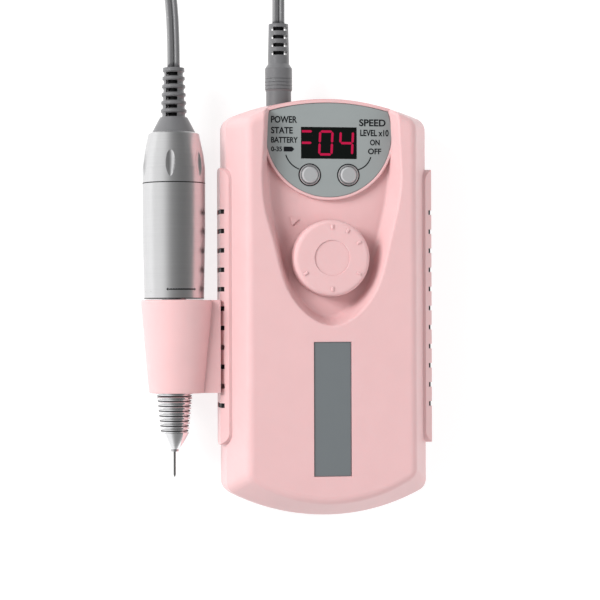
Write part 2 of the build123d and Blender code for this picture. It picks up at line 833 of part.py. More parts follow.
# ==== Handpiece =======================================================================================
with BuildPart() as boot_blank:
    with BuildSketch(tool_plane):
        draw_half_section(
            (0, cap_top_y - spigot_depth),
            (spigot_r, cap_top_y - spigot_depth),
            (spigot_r, cap_top_y),
            (boot_foot_r, cap_top_y),
            (boot_low_r, boot_cone_y),
            (boot_top_r, boot_top_y),
            (0, boot_top_y),
        )
    revolve(axis=tool_axis)
    for i in range(boot_slots):
        station = boot_first_slot_y + boot_slot_pitch * i
        surface_r = boot_low_r - (station - boot_cone_y) * boot_taper
        with BuildSketch(tool_plane):
            with Locations((surface_r, station)):
                Ellipse(boot_waist_depth, boot_slot_height / 2 + boot_waist_depth / 2)
        revolve(axis=tool_axis, mode=Mode.SUBTRACT)
        for turn in (0, 180):
            with Locations((tool_x, station, tool_z)):
                with Locations(Rotation(0, turn, 0)):
                    Box(
                        boot_window_width,
                        boot_slot_height,
                        2 * boot_low_r,
                        align=(Align.CENTER, Align.CENTER, Align.MIN),
                        mode=Mode.SUBTRACT,
                    )
    with BuildSketch(tool_plane):
        draw_half_section(
            (0, boot_cone_y), (boot_core_r, boot_cone_y), (boot_core_r, boot_top_y), (0, boot_top_y)
        )
    revolve(axis=tool_axis)

with BuildPart() as tool_boot:
    add(boot_blank.part.rotate(tool_axis, boot_turn))
finish(tool_boot.part, "tool_boot")

with BuildPart() as dimple:
    with BuildSketch(tool_plane):
        with BuildLine():
            ThreePointArc(
                (dimple_axis_r, dimple_y - dimple_half_length),
                (dimple_axis_r + dimple_half_width, dimple_y),
                (dimple_axis_r, dimple_y + dimple_half_length),
            )
            Line(
                (dimple_axis_r, dimple_y + dimple_half_length),
                (dimple_axis_r, dimple_y - dimple_half_length),
            )
        make_face()
    revolve(axis=Axis((tool_x + dimple_axis_r, 0, tool_z), (0, 1, 0)))

with BuildPart() as end_cap:
    with BuildSketch(tool_plane):
        draw_half_section(
            (spigot_r, cap_top_y),
            (boot_foot_r, cap_top_y),
            (cap_shoulder_r, cap_top_y - cap_edge),
            (cap_mid_r, cap_mid_y),
            (body_r, cap_body_y),
            (body_r, cap_seam_y),
            (body_r - body_wall, cap_seam_y),
            (body_r - body_wall, cap_body_y),
            (cap_mid_r - body_wall, cap_mid_y),
            (cap_shoulder_r - body_wall, cap_top_y - spigot_depth),
            (spigot_r, cap_top_y - spigot_depth),
        )
    revolve(axis=tool_axis)
    for i in range(dimple_count):
        add(dimple.part.rotate(tool_axis, dimple_turn + i * 360 / dimple_count), mode=Mode.SUBTRACT)
finish(end_cap.part, "end_cap")

with BuildPart() as body_tube:
    with BuildSketch(tool_plane):
        draw_half_section(
            (motor_r, cap_seam_y),
            (body_r, cap_seam_y),
            (body_r, tube_mid_y),
            (tube_low_r, tube_low_y),
            (housing_r + tube_lip_gap, tube_low_y),
            (housing_r + tube_lip_gap, tube_low_y + tube_lip),
            (motor_r, tube_low_y + tube_lip),
        )
    revolve(axis=tool_axis)
finish(body_tube.part, "body_tube")

with BuildPart() as motor_can:
    with BuildSketch(tool_plane):
        draw_half_section(
            (motor_shaft_r + running_gap, motor_low_y - motor_boss),
            (motor_boss_r, motor_low_y - motor_boss),
            (motor_boss_r, motor_low_y),
            (motor_r, motor_low_y),
            (motor_r, motor_high_y),
            (motor_shaft_r + running_gap, motor_high_y),
        )
    revolve(axis=tool_axis)
finish(motor_can.part, "motor_can")

with BuildPart() as motor_end_bell:
    with BuildSketch(tool_plane):
        draw_half_section(
            (motor_shaft_r + running_gap, motor_high_y),
            (motor_r - cap_edge, motor_high_y),
            (motor_r - cap_edge, motor_high_y + bell_height),
            (0, motor_high_y + bell_height),
            (0, motor_high_y + bell_height / 2),
            (motor_shaft_r + running_gap, motor_high_y + bell_height / 2),
        )
    revolve(axis=tool_axis)
finish(motor_end_bell.part, "motor_end_bell")

with BuildPart() as motor_terminals:
    with Locations([(tool_x + x, motor_high_y + bell_height, tool_z) for x in (-terminal_x, terminal_x)]):
        Box(terminal_width, 2 * terminal_width, link_thickness, align=(Align.CENTER, Align.MIN, Align.CENTER))
finish(motor_terminals.part, "motor_terminals")

with BuildPart() as bearing_housing:
    with BuildSketch(tool_plane):
        draw_half_section(
            (housing_r - housing_wall, housing_low_y),
            (housing_r, housing_low_y),
            (housing_r, tube_low_y + tube_lip),
            (motor_r, tube_low_y + tube_lip),
            (motor_r, motor_low_y - motor_boss),
            (housing_r - housing_wall, motor_low_y - motor_boss),
        )
    revolve(axis=tool_axis)
finish(bearing_housing.part, "bearing_housing")

for name, low_y in (("front_bearing", front_bearing_y), ("rear_bearing", rear_bearing_y)):
    with BuildPart() as bearing:
        with BuildSketch(tool_plane):
            draw_half_section(
                (spindle_r + running_gap, low_y),
                (housing_r - housing_wall, low_y),
                (housing_r - housing_wall, low_y + bearing_width),
                (spindle_r + running_gap, low_y + bearing_width),
            )
        revolve(axis=tool_axis)
    finish(bearing.part, name)

with BuildPart() as motor_shaft:
    with BuildSketch(tool_plane):
        draw_half_section(
            (0, coupling_mid_y),
            (motor_shaft_r, coupling_mid_y),
            (motor_shaft_r, motor_high_y),
            (0, motor_high_y),
        )
    revolve(axis=tool_axis)
finish(motor_shaft.part, "motor_shaft")

with BuildPart() as drive_coupling:
    with BuildSketch(tool_plane):
        draw_half_section(
            (0, coupling_low_y),
            (spindle_r, coupling_low_y),
            (spindle_r, coupling_low_y + coupling_length),
            (motor_shaft_r, coupling_low_y + coupling_length),
            (motor_shaft_r, coupling_mid_y),
            (0, coupling_mid_y),
        )
    revolve(axis=tool_axis)
finish(drive_coupling.part, "drive_coupling")

with BuildPart() as spindle:
    with BuildSketch(tool_plane):
        draw_half_section(
            (collet_r, spindle_low_y),
            (spindle_r, spindle_low_y),
            (spindle_r, coupling_low_y),
            (0, coupling_low_y),
            (0, spindle_floor_y),
            (collet_r, spindle_floor_y),
        )
    revolve(axis=tool_axis)
finish(spindle.part, "spindle")

with BuildPart() as collet:
    with BuildSketch(tool_plane):
        draw_half_section(
            (shank_r + collet_gap, collet_tip_y),
            (collet_tip_r, collet_tip_y),
            (collet_neck_r, spindle_low_y - collet_cone),
            (collet_r, spindle_low_y),
            (collet_r, collet_top_y),
            (shank_r + collet_gap, collet_top_y),
        )
    revolve(axis=tool_axis)
finish(collet.part, "collet")

with BuildPart() as collet_spring:
    with BuildSketch(tool_plane):
        draw_half_section(
            (collet_r - housing_wall, collet_top_y),
            (collet_r, collet_top_y),
            (collet_r, spindle_floor_y),
            (collet_r - housing_wall, spindle_floor_y),
        )
    revolve(axis=tool_axis)
finish(collet_spring.part, "collet_spring")

with BuildPart() as front_grip:
    with BuildSketch(tool_plane):
        draw_half_section(
            (housing_r + running_gap, nose_y),
            (grip_front_r, nose_y),
            (grip_holder_r, holder_low_y),
            (grip_top_r, grip_top_y),
            (housing_r + running_gap, grip_top_y),
        )
    revolve(axis=tool_axis)
    for i in range(rib_count):
        station = nose_y + rib_pitch * (i + 0.5)
        with BuildSketch(tool_plane):
            with Locations((grip_front_r + (station - nose_y) * rib_taper + rib_lift, station)):
                Circle(rib_groove_r)
        revolve(axis=tool_axis, mode=Mode.SUBTRACT)
finish(front_grip.part, "front_grip")

with BuildPart() as nose_cone:
    with BuildSketch(tool_plane):
        with BuildLine():
            Line((nose_bore_r, nose_tip_y), (nose_bore_r + nose_lip, nose_tip_y))
            ThreePointArc(
                (nose_bore_r + nose_lip, nose_tip_y),
                (nose_mid_r, (nose_y + nose_tip_y) / 2),
                (grip_front_r, nose_y),
            )
            Line((grip_front_r, nose_y), (spindle_r + nose_clearance, nose_y))
            Line((spindle_r + nose_clearance, nose_y), (nose_bore_r, nose_tip_y))
        make_face()
    revolve(axis=tool_axis)
finish(nose_cone.part, "nose_cone")

with BuildPart() as drill_bit:
    with BuildSketch(tool_plane):
        draw_half_section(
            (0, bit_tip_y),
            (needle_point_r, bit_tip_y),
            (needle_r, bit_tip_y + needle_point),
            (needle_r, collet_tip_y + bit_neck),
            (shank_r, collet_tip_y + 2 * bit_neck),
            (shank_r, shank_top_y),
            (0, shank_top_y),
        )
    revolve(axis=tool_axis)
finish(drill_bit.part, "drill_bit")

# ==== Plug ============================================================================================
with BuildPart() as plug_body:
    with BuildSketch(plug_plane):
        draw_half_section(
            (0, plug_end_y),
            (plug_sleeve_r, plug_end_y),
            (plug_sleeve_r, plug_groove_y),
            (plug_body_r, plug_groove_y + cap_edge),
            (plug_body_r, plug_flare_y),
            (boot_top_r, plug_collar_y),
            (boot_top_r, plug_boot_y),
            (0, plug_boot_y),
        )
    revolve(axis=plug_axis)
    for i in range(plug_grooves):
        with BuildSketch(plug_plane):
            with Locations((plug_body_r, plug_body_y - plug_groove_pitch * (i + 0.5))):
                Rectangle(2 * plug_groove_depth, plug_groove_width)
        revolve(axis=plug_axis, mode=Mode.SUBTRACT)
finish(plug_body.part, "plug_body")

with BuildPart() as plug_boot:
    with BuildSketch(plug_plane):
        draw_half_section(
            (0, plug_boot_y), (boot_top_r, plug_boot_y), (plug_boot_top_r, plug_top_y), (0, plug_top_y)
        )
    revolve(axis=plug_axis)
    for i in range(plug_slots):
        with Locations((plug_x, plug_first_slot_y + boot_slot_pitch * i, plug_z)):
            Box(plug_window_width, boot_slot_height, 2 * plug_body_r, mode=Mode.SUBTRACT)
    with BuildSketch(plug_plane):
        draw_half_section(
            (0, plug_boot_y), (boot_core_r, plug_boot_y), (boot_core_r, plug_top_y), (0, plug_top_y)
        )
    revolve(axis=plug_axis)
finish(plug_boot.part, "plug_boot")

with BuildPart() as plug_barrel:
    with BuildSketch(plug_plane):
        draw_half_section(
            (barrel_bore_r, barrel_tip_y),
            (barrel_r, barrel_tip_y),
            (barrel_r, plug_end_y),
            (barrel_bore_r, plug_end_y),
        )
    revolve(axis=plug_axis)
finish(plug_barrel.part, "plug_barrel")

# ==== Cord ============================================================================================
for name, points in (("cord_tool_end", tool_cord_points), ("cord_plug_end", plug_cord_points)):
    route = [Vector(*point) for point in points]
    runs = [after - before for before, after in zip(route, route[1:])]
    radii = []
    for before, after in zip(runs, runs[1:]):
        half_turn = radians(before.get_angle(after)) / 2
        radii.append(arc_share * min(before.length, after.length) / tan(half_turn))
    with BuildPart() as cord:
        with BuildLine() as path:
            FilletPolyline(*route, radius=radii)
        with BuildSketch(Plane(origin=route[0], z_dir=runs[0])):
            Circle(cord_r)
        sweep()
    finish(cord.part, name)
    print(name, "radii", [round(r, 1) for r in radii], "length", round(path.wires()[0].length, 1))
    straight_volume = pi * cord_r**2 * path.wires()[0].length
    print(name, "volume over section times length", cord.part.volume / straight_volume)

with BuildPart() as cord_coil:
    with BuildSketch():
        with Locations((coil_x, coil_y)):
            Circle(coil_outer_r)
            Circle(coil_inner_r, mode=Mode.SUBTRACT)
    extrude(amount=coil_height)
    fillet(cord_coil.edges(), coil_edge_r)
finish(cord_coil.part, "cord_coil")
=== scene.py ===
import json
import math

import bpy
from mathutils import Matrix, Vector


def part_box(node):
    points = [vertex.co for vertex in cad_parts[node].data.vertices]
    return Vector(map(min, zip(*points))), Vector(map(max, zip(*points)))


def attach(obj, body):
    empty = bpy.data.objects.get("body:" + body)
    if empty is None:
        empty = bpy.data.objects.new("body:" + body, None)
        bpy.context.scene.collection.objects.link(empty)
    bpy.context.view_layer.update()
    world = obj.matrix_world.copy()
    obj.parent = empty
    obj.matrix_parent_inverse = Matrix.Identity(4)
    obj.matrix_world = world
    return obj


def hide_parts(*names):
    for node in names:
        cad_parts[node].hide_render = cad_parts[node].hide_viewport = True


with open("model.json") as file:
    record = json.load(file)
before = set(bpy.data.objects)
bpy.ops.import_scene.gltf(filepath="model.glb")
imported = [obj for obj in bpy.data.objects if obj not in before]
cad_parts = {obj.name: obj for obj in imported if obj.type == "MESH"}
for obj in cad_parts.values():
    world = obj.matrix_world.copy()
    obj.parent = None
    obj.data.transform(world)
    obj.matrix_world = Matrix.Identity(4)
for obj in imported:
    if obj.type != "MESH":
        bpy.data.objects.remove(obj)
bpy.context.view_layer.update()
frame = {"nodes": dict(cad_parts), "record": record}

# Lengths are in metres and angles in degrees. Routes, legends, profiles and other tables of plain numbers are
# in millimetres, and MM turns them into metres.
MM = 0.001


def span(node):
    """Lowest corner, highest corner and middle of a CAD node."""
    low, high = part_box(node)
    return low, high, (low + high) / 2


# ---- Camera -------------------------------------------------------------------------------------
CAMERA_TARGET = Vector((-10.27, 2.73, 16.5)) * MM
CAMERA_DISTANCE = 0.761
CAMERA_YAW = 8.854
CAMERA_PITCH = 0.335
CAMERA_ROLL = -0.179
CAMERA_LENS = 115.0
CAMERA_CLIP = (0.05, 20.0)


def make_camera():
    """Long lens looking straight down on the box, a little from the handpiece's side."""
    yaw, pitch, roll = (math.radians(a) for a in (CAMERA_YAW, CAMERA_PITCH, CAMERA_ROLL))
    back = Vector((-math.sin(yaw) * math.cos(pitch), -math.sin(pitch), math.cos(yaw) * math.cos(pitch)))
    right = Vector((0, 1, 0)).cross(back).normalized()
    up = back.cross(right)
    turned_right = right * math.cos(roll) + up * math.sin(roll)
    turned_up = up * math.cos(roll) - right * math.sin(roll)
    data = bpy.data.cameras.new("camera")
    data.lens = CAMERA_LENS
    data.clip_start, data.clip_end = CAMERA_CLIP
    camera = bpy.data.objects.new("camera", data)
    bpy.context.scene.collection.objects.link(camera)
    place = Matrix((turned_right, turned_up, back)).transposed().to_4x4()
    place.translation = CAMERA_TARGET + back * CAMERA_DISTANCE
    camera.matrix_world = place
    bpy.context.scene.camera = camera


make_camera()


# ---- Mesh helpers -------------------------------------------------------------------------------
def add_mesh(name, points, faces, smooth=True):
    """New mesh object from points and faces."""
    mesh = bpy.data.meshes.new(name)
    mesh.from_pydata([tuple(p) for p in points], [], faces)
    mesh.validate()
    for polygon in mesh.polygons:
        polygon.use_smooth = smooth
    mesh.update()
    obj = bpy.data.objects.new(name, mesh)
    bpy.context.scene.collection.objects.link(obj)
    return obj


def ring_faces(start, rings, sides, closed=True):
    """Quads between rings of points that follow each other from start; closed joins the last to the first."""
    faces = []
    for ring in range(rings if closed else rings - 1):
        a, b = start + ring * sides, start + (ring + 1) % rings * sides
        for k in range(sides):
            after = (k + 1) % sides
            faces.append((a + k, a + after, b + after, b + k))
    return faces


def end_caps(rings, sides):
    """Faces that close the first and the last of some rings of points."""
    return [tuple(range(sides))[::-1], tuple(range((rings - 1) * sides, rings * sides))]


def prism_faces(start, count):
    """Faces of a prism whose two outlines of count points follow each other from start."""
    ends = [tuple(start + k for k in range(count))[::-1], tuple(start + count + k for k in range(count))]
    return ends + ring_faces(start, 2, count, closed=False)


def sweep_section(path, section, axes):
    """Points and faces of a closed section carried along a path; axes has tangents and level directions."""
    points = []
    for centre, (tangent, level) in zip(path, axes):
        rise = level.cross(tangent).normalized()
        points += [centre + level * x + rise * y for x, y in section]
    faces = ring_faces(0, len(path), len(section), closed=False) + end_caps(len(path), len(section))
    return points, faces


# ---- Cord ---------------------------------------------------------------------------------------
CORD_WIDTH = 5.0 * MM
CORD_THICK = 2.5 * MM
COIL_CENTRE = (-40.0 * MM, 176.0 * MM)
COIL_OUTER = 31.6 * MM
COIL_INNER = 21.6 * MM
COIL_TURNS = 5.5
COIL_POINTS_PER_TURN = 16
COIL_LOW = 1.55 * MM
COIL_HIGH = 4.15 * MM
COIL_DIP = 1.3 * MM
COIL_FLOOR_TURNS = 2
COIL_TOP_FROM_TURN = 3
COIL_CLIMB_TURNS = 0.6
ROUTE_RESOLUTION = 10
ROUTE_ORDER = 3
STRAND_POINTS = 17
STRAND_REACH = 172.0

TOOL_END_ROUTE = [
    (-60.3, 94.0, 16.5),
    (-60.3, 111.4, 16.5),
    (-61.9, 130.0, 12.8),
    (-65.4, 146.0, 5.4),
    (-69.5, 160.0, 1.5),
]
PLUG_END_ROUTE = [
    (-11.4, 162.0, 1.5),
    (-15.0, 151.0, 5.4),
    (-17.5, 139.0, 12.2),
    (-18.6, 125.2, 16.5),
    (-18.6, 112.0, 16.5),
]


def coil_points():
    """Clockwise turns: inwards on the floor for two turns, up, then outwards on top of them."""
    points = []
    steps = int(COIL_TURNS * COIL_POINTS_PER_TURN)
    pitch = (COIL_OUTER - COIL_INNER) / COIL_FLOOR_TURNS
    for k in range(steps + 1):
        turn = k / COIL_POINTS_PER_TURN
        if turn <= COIL_FLOOR_TURNS:
            radius, height = COIL_OUTER - pitch * turn, COIL_LOW
        elif turn < COIL_TOP_FROM_TURN:
            climb = min(1.0, (turn - COIL_FLOOR_TURNS) / COIL_CLIMB_TURNS)
            radius = COIL_INNER - COIL_DIP * math.sin(math.pi * (turn - COIL_FLOOR_TURNS))
            height = COIL_LOW + (COIL_HIGH - COIL_LOW) * climb * climb * (3 - 2 * climb)
        else:
            radius = min(COIL_OUTER, COIL_INNER + pitch * (turn - COIL_TOP_FROM_TURN))
            height = COIL_HIGH
        angle = math.pi - 2 * math.pi * turn
        x = COIL_CENTRE[0] + radius * math.cos(angle)
        y = COIL_CENTRE[1] + radius * math.sin(angle)
        points.append(Vector((x, y, height)))
    return points


def smooth_route(points):
    """Points of the NURBS line whose control points are given, read back from Blender."""
    curve = bpy.data.curves.new("cord_route", "CURVE")
    curve.dimensions = "3D"
    curve.resolution_u = ROUTE_RESOLUTION
    spline = curve.splines.new("NURBS")
    spline.points.add(len(points) - 1)
    for point, place in zip(spline.points, points):
        point.co = (*place, 1.0)
    spline.order_u = ROUTE_ORDER
    spline.use_endpoint_u = True
    holder = bpy.data.objects.new("cord_route", curve)
    bpy.context.scene.collection.objects.link(holder)
    bpy.context.view_layer.update()
    mesh = bpy.data.meshes.new_from_object(holder)
    line = [vertex.co.copy() for vertex in mesh.vertices]
    bpy.data.objects.remove(holder)
    bpy.data.curves.remove(curve)
    bpy.data.meshes.remove(mesh)
    return line


def twin_section():
    """Outline of the twin lead: two round strands side by side, joined by a thin web."""
    strand = CORD_THICK / 2
    centre = CORD_WIDTH / 2 - strand
    step = 2 * STRAND_REACH / (STRAND_POINTS - 1)
    right = []
    for k in range(STRAND_POINTS):
        angle = math.radians(-STRAND_REACH + step * k)
        right.append((centre + strand * math.cos(angle), strand * math.sin(angle)))
    left = [(-x, -y) for x, y in right]
    return right + left


def make_cord():
    """The whole lead as one mesh, from the handpiece's boot through the coil to the plug's boot."""
    tool_end = [Vector(p) * MM for p in TOOL_END_ROUTE]
    plug_end = [Vector(p) * MM for p in PLUG_END_ROUTE]
    path = smooth_route(tool_end + coil_points() + plug_end)
    axes = []
    for k in range(len(path)):
        tangent = (path[min(k + 1, len(path) - 1)] - path[max(k - 1, 0)]).normalized()
        level = tangent.cross(Vector((0, 0, 1))).normalized()
        axes.append((tangent, level))
    points, faces = sweep_section(path, twin_section(), axes)
    cord = add_mesh("handpiece_cord", points, faces)
    length = sum((b - a).length for a, b in zip(path, path[1:]))
    print("cord length", round(length, 4))
    return cord, path


cord, cord_path = make_cord()

TIE_CLEARANCE = 0.45 * MM
TIE_LOW = 0.15 * MM
TIE_LIFT = 0.35 * MM
TIE_WIDTH = 7.0 * MM
TIE_THICK = 0.3 * MM
TIE_STEPS = 48


def make_tie():
    """Strap round the coil's bundle, on the side away from the box."""
    half_width = (COIL_OUTER - COIL_INNER + CORD_WIDTH) / 2 + TIE_CLEARANCE
    middle_r = (COIL_OUTER + COIL_INNER) / 2
    high = COIL_HIGH + CORD_THICK / 2 + TIE_LIFT
    corner = (high - TIE_LOW) / 2
    half = TIE_WIDTH / 2
    side = [(-half, 0), (half, 0), (half, -TIE_THICK), (-half, -TIE_THICK)]
    points = []
    for k in range(TIE_STEPS):
        angle = 2 * math.pi * k / TIE_STEPS
        nx, nz = math.cos(angle), math.sin(angle)
        x = math.copysign(half_width - corner, nx) + corner * nx
        z = (TIE_LOW + high) / 2 + corner * nz
        for along, out in side:
            radial = middle_r + x + nx * out
            points.append(Vector((COIL_CENTRE[0] + along, COIL_CENTRE[1] + radial, z + nz * out)))
    return add_mesh("cord_tie", points, ring_faces(0, TIE_STEPS, len(side)), smooth=False)


tie = make_tie()


# ---- Materials ----------------------------------------------------------------------------------
MOTTLE_SPREAD = (0.3, 0.7)


class Look:
    """A procedural surface: colour mottle, roughness variation and fine relief on one shader."""

    def __init__(self, name):
        self.material = bpy.data.materials.new(name)
        self.material.use_nodes = True
        self.tree = self.material.node_tree
        self.shader = self.tree.nodes["Principled BSDF"]

    def node(self, kind, **values):
        made = self.tree.nodes.new(kind)
        for key, value in values.items():
            setattr(made, key, value)
        return made

    def join(self, source, output, target, entry):
        self.tree.links.new(source.outputs[output], target.inputs[entry])

    def coordinates(self, stretch=(1, 1, 1)):
        """Object coordinates in metres, scaled by stretch."""
        where = self.node("ShaderNodeTexCoord")
        scale = self.node("ShaderNodeMapping")
        scale.inputs["Scale"].default_value = stretch
        self.join(where, "Object", scale, "Vector")
        return scale

    def noise(self, size, stretch=(1, 1, 1), detail=3.0):
        """Noise whose blobs are about size across."""
        texture = self.node("ShaderNodeTexNoise")
        texture.inputs["Scale"].default_value = 1 / size
        texture.inputs["Detail"].default_value = detail
        self.join(self.coordinates(stretch), "Vector", texture, "Vector")
        return texture

    def mottle(self, colour, amount, size, stretch=(1, 1, 1)):
        """Base colour that drifts lighter and darker by amount."""
        ramp = self.node("ShaderNodeValToRGB")
        dark, light = ramp.color_ramp.elements
        dark.position, light.position = MOTTLE_SPREAD
        dark.color = (*(c * (1 - amount) for c in colour), 1)
        light.color = (*(min(1.0, c * (1 + amount)) for c in colour), 1)
        self.join(self.noise(size, stretch), "Fac", ramp, "Fac")
        self.join(ramp, "Color", self.shader, "Base Color")

    def roughness(self, low, high, size, stretch=(1, 1, 1)):
        span_node = self.node("ShaderNodeMapRange")
        span_node.inputs["To Min"].default_value = low
        span_node.inputs["To Max"].default_value = high
        self.join(self.noise(size, stretch, detail=4.0), "Fac", span_node, "Value")
        self.join(span_node, "Result", self.shader, "Roughness")

    def relief(self, height, size, strength=1.0, stretch=(1, 1, 1)):
        bump = self.node("ShaderNodeBump")
        bump.inputs["Strength"].default_value = strength
        bump.inputs["Distance"].default_value = height
        self.join(self.noise(size, stretch), "Fac", bump, "Height")
        self.join(bump, "Normal", self.shader, "Normal")

    def set(self, **values):
        for key, value in values.items():
            self.shader.inputs[key.replace("_", " ")].default_value = value
        return self


def moulded(name, colour, low, high, grain=0.25 * MM, height=0.006 * MM):
    """Satin or matte injection-moulded plastic with a fine spark-eroded grain."""
    look = Look(name)
    look.mottle(colour, amount=0.012, size=9 * MM)
    look.roughness(low, high, size=1.2 * MM)
    look.relief(height, grain, strength=0.5)
    return look


def turned_metal(name, colour, low, high, stretch, height):
    """Metal with fine lathe rings across its axis."""
    look = Look(name)
    look.mottle(colour, amount=0.02, size=0.5 * MM, stretch=stretch)
    look.roughness(low, high, size=0.12 * MM, stretch=stretch)
    look.relief(height, size=0.1 * MM, strength=0.25, stretch=stretch)
    look.set(Metallic=1.0)
    return look


# Noise drawn out round an axis along Y, as lathe marks are.
RINGS = (0.03, 1.0, 0.03)
PLAIN = (1, 1, 1)
# Maker, colour, lowest and highest roughness. Plastics may add grain size and relief height, and metals have
# stretch and relief height.
LOOKS = {
    "shell_plastic": (moulded, (0.71, 0.452, 0.457), 0.28, 0.38),
    "panel_plastic": (moulded, (0.27, 0.295, 0.295), 0.38, 0.5, 0.12 * MM, 0.003 * MM),
    "window_lens": (moulded, (0.0025, 0.004, 0.0035), 0.12, 0.18, 0.5 * MM, 0.001 * MM),
    "silver_plastic": (moulded, (0.60, 0.61, 0.62), 0.26, 0.36, 0.10 * MM, 0.002 * MM),
    "inner_plastic": (moulded, (0.012, 0.012, 0.013), 0.40, 0.55),
    "board_laminate": (moulded, (0.01, 0.10, 0.035), 0.30, 0.42, 0.4 * MM, 0.004 * MM),
    "cell_sleeve": (moulded, (0.02, 0.09, 0.25), 0.20, 0.30, 0.8 * MM, 0.004 * MM),
    "aluminium_body": (turned_metal, (0.67, 0.67, 0.675), 0.27, 0.33, RINGS, 0.0006 * MM),
    "chrome_parts": (turned_metal, (0.86, 0.86, 0.87), 0.06, 0.12, RINGS, 0.0006 * MM),
    "steel_parts": (turned_metal, (0.60, 0.60, 0.61), 0.22, 0.34, RINGS, 0.0012 * MM),
    "screw_steel": (turned_metal, (0.22, 0.22, 0.23), 0.30, 0.42, PLAIN, 0.0012 * MM),
    "contact_brass": (turned_metal, (0.80, 0.58, 0.25), 0.22, 0.32, PLAIN, 0.001 * MM),
    "cord_rubber": (moulded, (0.13, 0.13, 0.135), 0.26, 0.36, 0.18 * MM, 0.004 * MM),
}
looks = {name: make(name, *values) for name, (make, *values) in LOOKS.items()}
looks["silver_plastic"].set(Metallic=0.55)
looks["window_lens"].set(Specular_IOR_Level=0.22)
looks["shell_plastic"].set(Specular_IOR_Level=0.35, Subsurface_Weight=0.12, Subsurface_Scale=1.5 * MM)
looks["shell_plastic"].set(Subsurface_Radius=(1.0, 0.35, 0.35))
looks["inner_plastic"].set(Specular_IOR_Level=0.15)
looks["cord_rubber"].set(Specular_IOR_Level=0.8)

slot_of = {part["node"]: part["material_slot"] for part in frame["record"]["subparts"]}
for node_name, node in frame["nodes"].items():
    node.material_slots[0].material = looks[slot_of[node_name]].material

label_look = moulded("label_plate", (0.145, 0.16, 0.168), 0.34, 0.46, 0.12 * MM, 0.003 * MM)
frame["nodes"]["label_plate"].material_slots[0].material = label_look.material
bit_look = turned_metal("bit_steel", (0.20, 0.205, 0.20), 0.3, 0.4, RINGS, 0.0012 * MM)
frame["nodes"]["drill_bit"].material_slots[0].material = bit_look.material


def dress(piece, look, body):
    """Material and body of a new piece."""
    piece.data.materials.append(look.material)
    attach(piece, body)
    return piece


cord_look = moulded("cord_sheath", (0.12, 0.12, 0.125), 0.18, 0.26, 0.4 * MM, 0.003 * MM)
cord_look.set(Specular_IOR_Level=1.0, IOR=2.0, Coat_Weight=1.0, Coat_Roughness=0.12)
dress(cord, cord_look, "handpiece")
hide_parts("cord_tool_end", "cord_plug_end", "cord_coil")
tie_look = moulded("tie_strap", (0.02, 0.02, 0.022), 0.6, 0.8, 0.3 * MM, 0.05 * MM)
dress(tie, tie_look, "handpiece")


# ---- Light and floor ----------------------------------------------------------------------------
FLOOR_HALF = 1.6
FLOOR_DROP = 0.02 * MM
FLOOR_COLOUR = (0.35, 0.35, 0.35)
FLOOR_GLOW = 0.75
FLAG_LEAN = 30.0
FLAG_LENGTH_SHARE = 0.35
# Cosine of the angle away from the flag's middle, and the brightness there.
FLAG_GRADE = [(0.0, 1.0), (0.25, 0.92), (0.5, 0.6), (0.68, 0.36), (0.85, 0.27), (1.0, 0.2)]
# Name, place, size and watts of each light.
LIGHTS = [
    ("key_left", (-0.82, 0.36, 0.60), (0.36, 0.5), 10.5),
    ("fill_right", (0.80, -0.2, 0.65), (0.9, 0.9), 6.5),
]


def make_floor():
    """Ground that glows white, so that the shadows on it stay faint."""
    corners = ((-1, -1), (1, -1), (1, 1), (-1, 1))
    points = [(u * FLOOR_HALF, v * FLOOR_HALF, -FLOOR_DROP) for u, v in corners]
    floor = add_mesh("floor", points, [(0, 1, 2, 3)], smooth=False)
    look = Look("floor")
    look.mottle(FLOOR_COLOUR, amount=0.004, size=0.3)
    look.roughness(0.75, 0.85, size=0.02)
    look.set(Emission_Color=(1.0, 1.0, 1.0, 1.0), Emission_Strength=FLOOR_GLOW)
    floor.data.materials.append(look.material)


def make_world():
    """Pale studio, bright near the horizon, with a soft dark flag overhead that metal shows as a band."""
    world = bpy.data.worlds.new("studio")
    bpy.context.scene.world = world
    world.use_nodes = True
    tree = world.node_tree
    where = tree.nodes.new("ShaderNodeTexCoord")
    flatten = tree.nodes.new("ShaderNodeVectorMath")
    flatten.operation = "MULTIPLY"
    flatten.inputs[1].default_value = (1.0, FLAG_LENGTH_SHARE, 1.0)
    unit = tree.nodes.new("ShaderNodeVectorMath")
    unit.operation = "NORMALIZE"
    dot = tree.nodes.new("ShaderNodeVectorMath")
    dot.operation = "DOT_PRODUCT"
    flag = math.radians(FLAG_LEAN)
    dot.inputs[1].default_value = (math.sin(flag), 0.0, math.cos(flag))
    ramp = tree.nodes.new("ShaderNodeValToRGB")
    ramp.color_ramp.interpolation = "EASE"
    stops = ramp.color_ramp.elements
    for _ in range(len(FLAG_GRADE) - len(stops)):
        stops.new(0.5)
    for stop, (place, level) in zip(stops, FLAG_GRADE):
        stop.position = place
        stop.color = (level, level, level, 1.0)
    tree.links.new(where.outputs["Generated"], flatten.inputs[0])
    tree.links.new(flatten.outputs["Vector"], unit.inputs[0])
    tree.links.new(unit.outputs["Vector"], dot.inputs[0])
    tree.links.new(dot.outputs["Value"], ramp.inputs["Fac"])
    tree.links.new(ramp.outputs["Color"], tree.nodes["Background"].inputs["Color"])
    tree.nodes["Background"].inputs["Strength"].default_value = 1.0


def add_softbox(name, place, size, watts):
    """Rectangular area light at place, aimed at the object's middle and hidden from reflections."""
    data = bpy.data.lights.new(name, "AREA")
    data.shape = "RECTANGLE"
    data.size, data.size_y = size
    data.energy = watts
    light = bpy.data.objects.new(name, data)
    bpy.context.scene.collection.objects.link(light)
    light.location = place
    light.rotation_mode = "QUATERNION"
    light.rotation_quaternion = (Vector(place) - CAMERA_TARGET).to_track_quat("Z", "Y")
    light.visible_glossy = False


